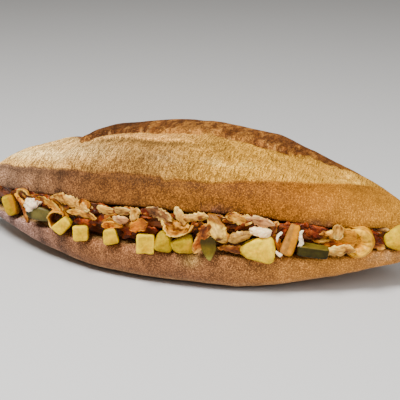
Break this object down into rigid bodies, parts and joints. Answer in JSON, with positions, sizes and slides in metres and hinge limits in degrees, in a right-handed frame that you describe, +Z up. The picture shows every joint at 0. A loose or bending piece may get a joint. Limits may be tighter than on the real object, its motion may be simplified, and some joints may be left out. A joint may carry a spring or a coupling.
{
  "type": "submarine sandwich",
  "caption": "Torpedo roll slit along its front and stuffed with flaked chicken, cut potato, pickle and white sauce, resting on its flat base.",
  "frame": {"origin": "middle of the roll's length and width, on the flat spot it rests on", "axes": "+X along the roll towards the end that shows most of the crust's split closing, +Z up, the slit opens towards -Y"},
  "size_m": [0.292, 0.1142, 0.0801],
  "materials": {
    "crust": "matte baked crust, pale where it split",
    "chicken": "seared flaked meat, slightly moist",
    "potato": "soft cooked potato, faint sheen",
    "pickle": "wet pickle, dark skin",
    "sauce": "thick white sauce"
  },
  "bodies": {
    "root": {"bread_roll": "crust", "chicken_filling": "chicken", "potato_1": "potato", "potato_2": "potato", "potato_3": "potato", "potato_4": "potato", "potato_5": "potato", "potato_6": "potato", "potato_7": "potato", "potato_8": "potato", "potato_9": "potato", "potato_10": "potato", "pickle_1": "pickle", "pickle_2": "pickle", "pickle_3": "pickle", "sauce_1": "sauce", "sauce_2": "sauce", "sauce_3": "sauce", "sauce_4": "sauce", "sauce_5": "sauce"}
  },
  "joints": []
}
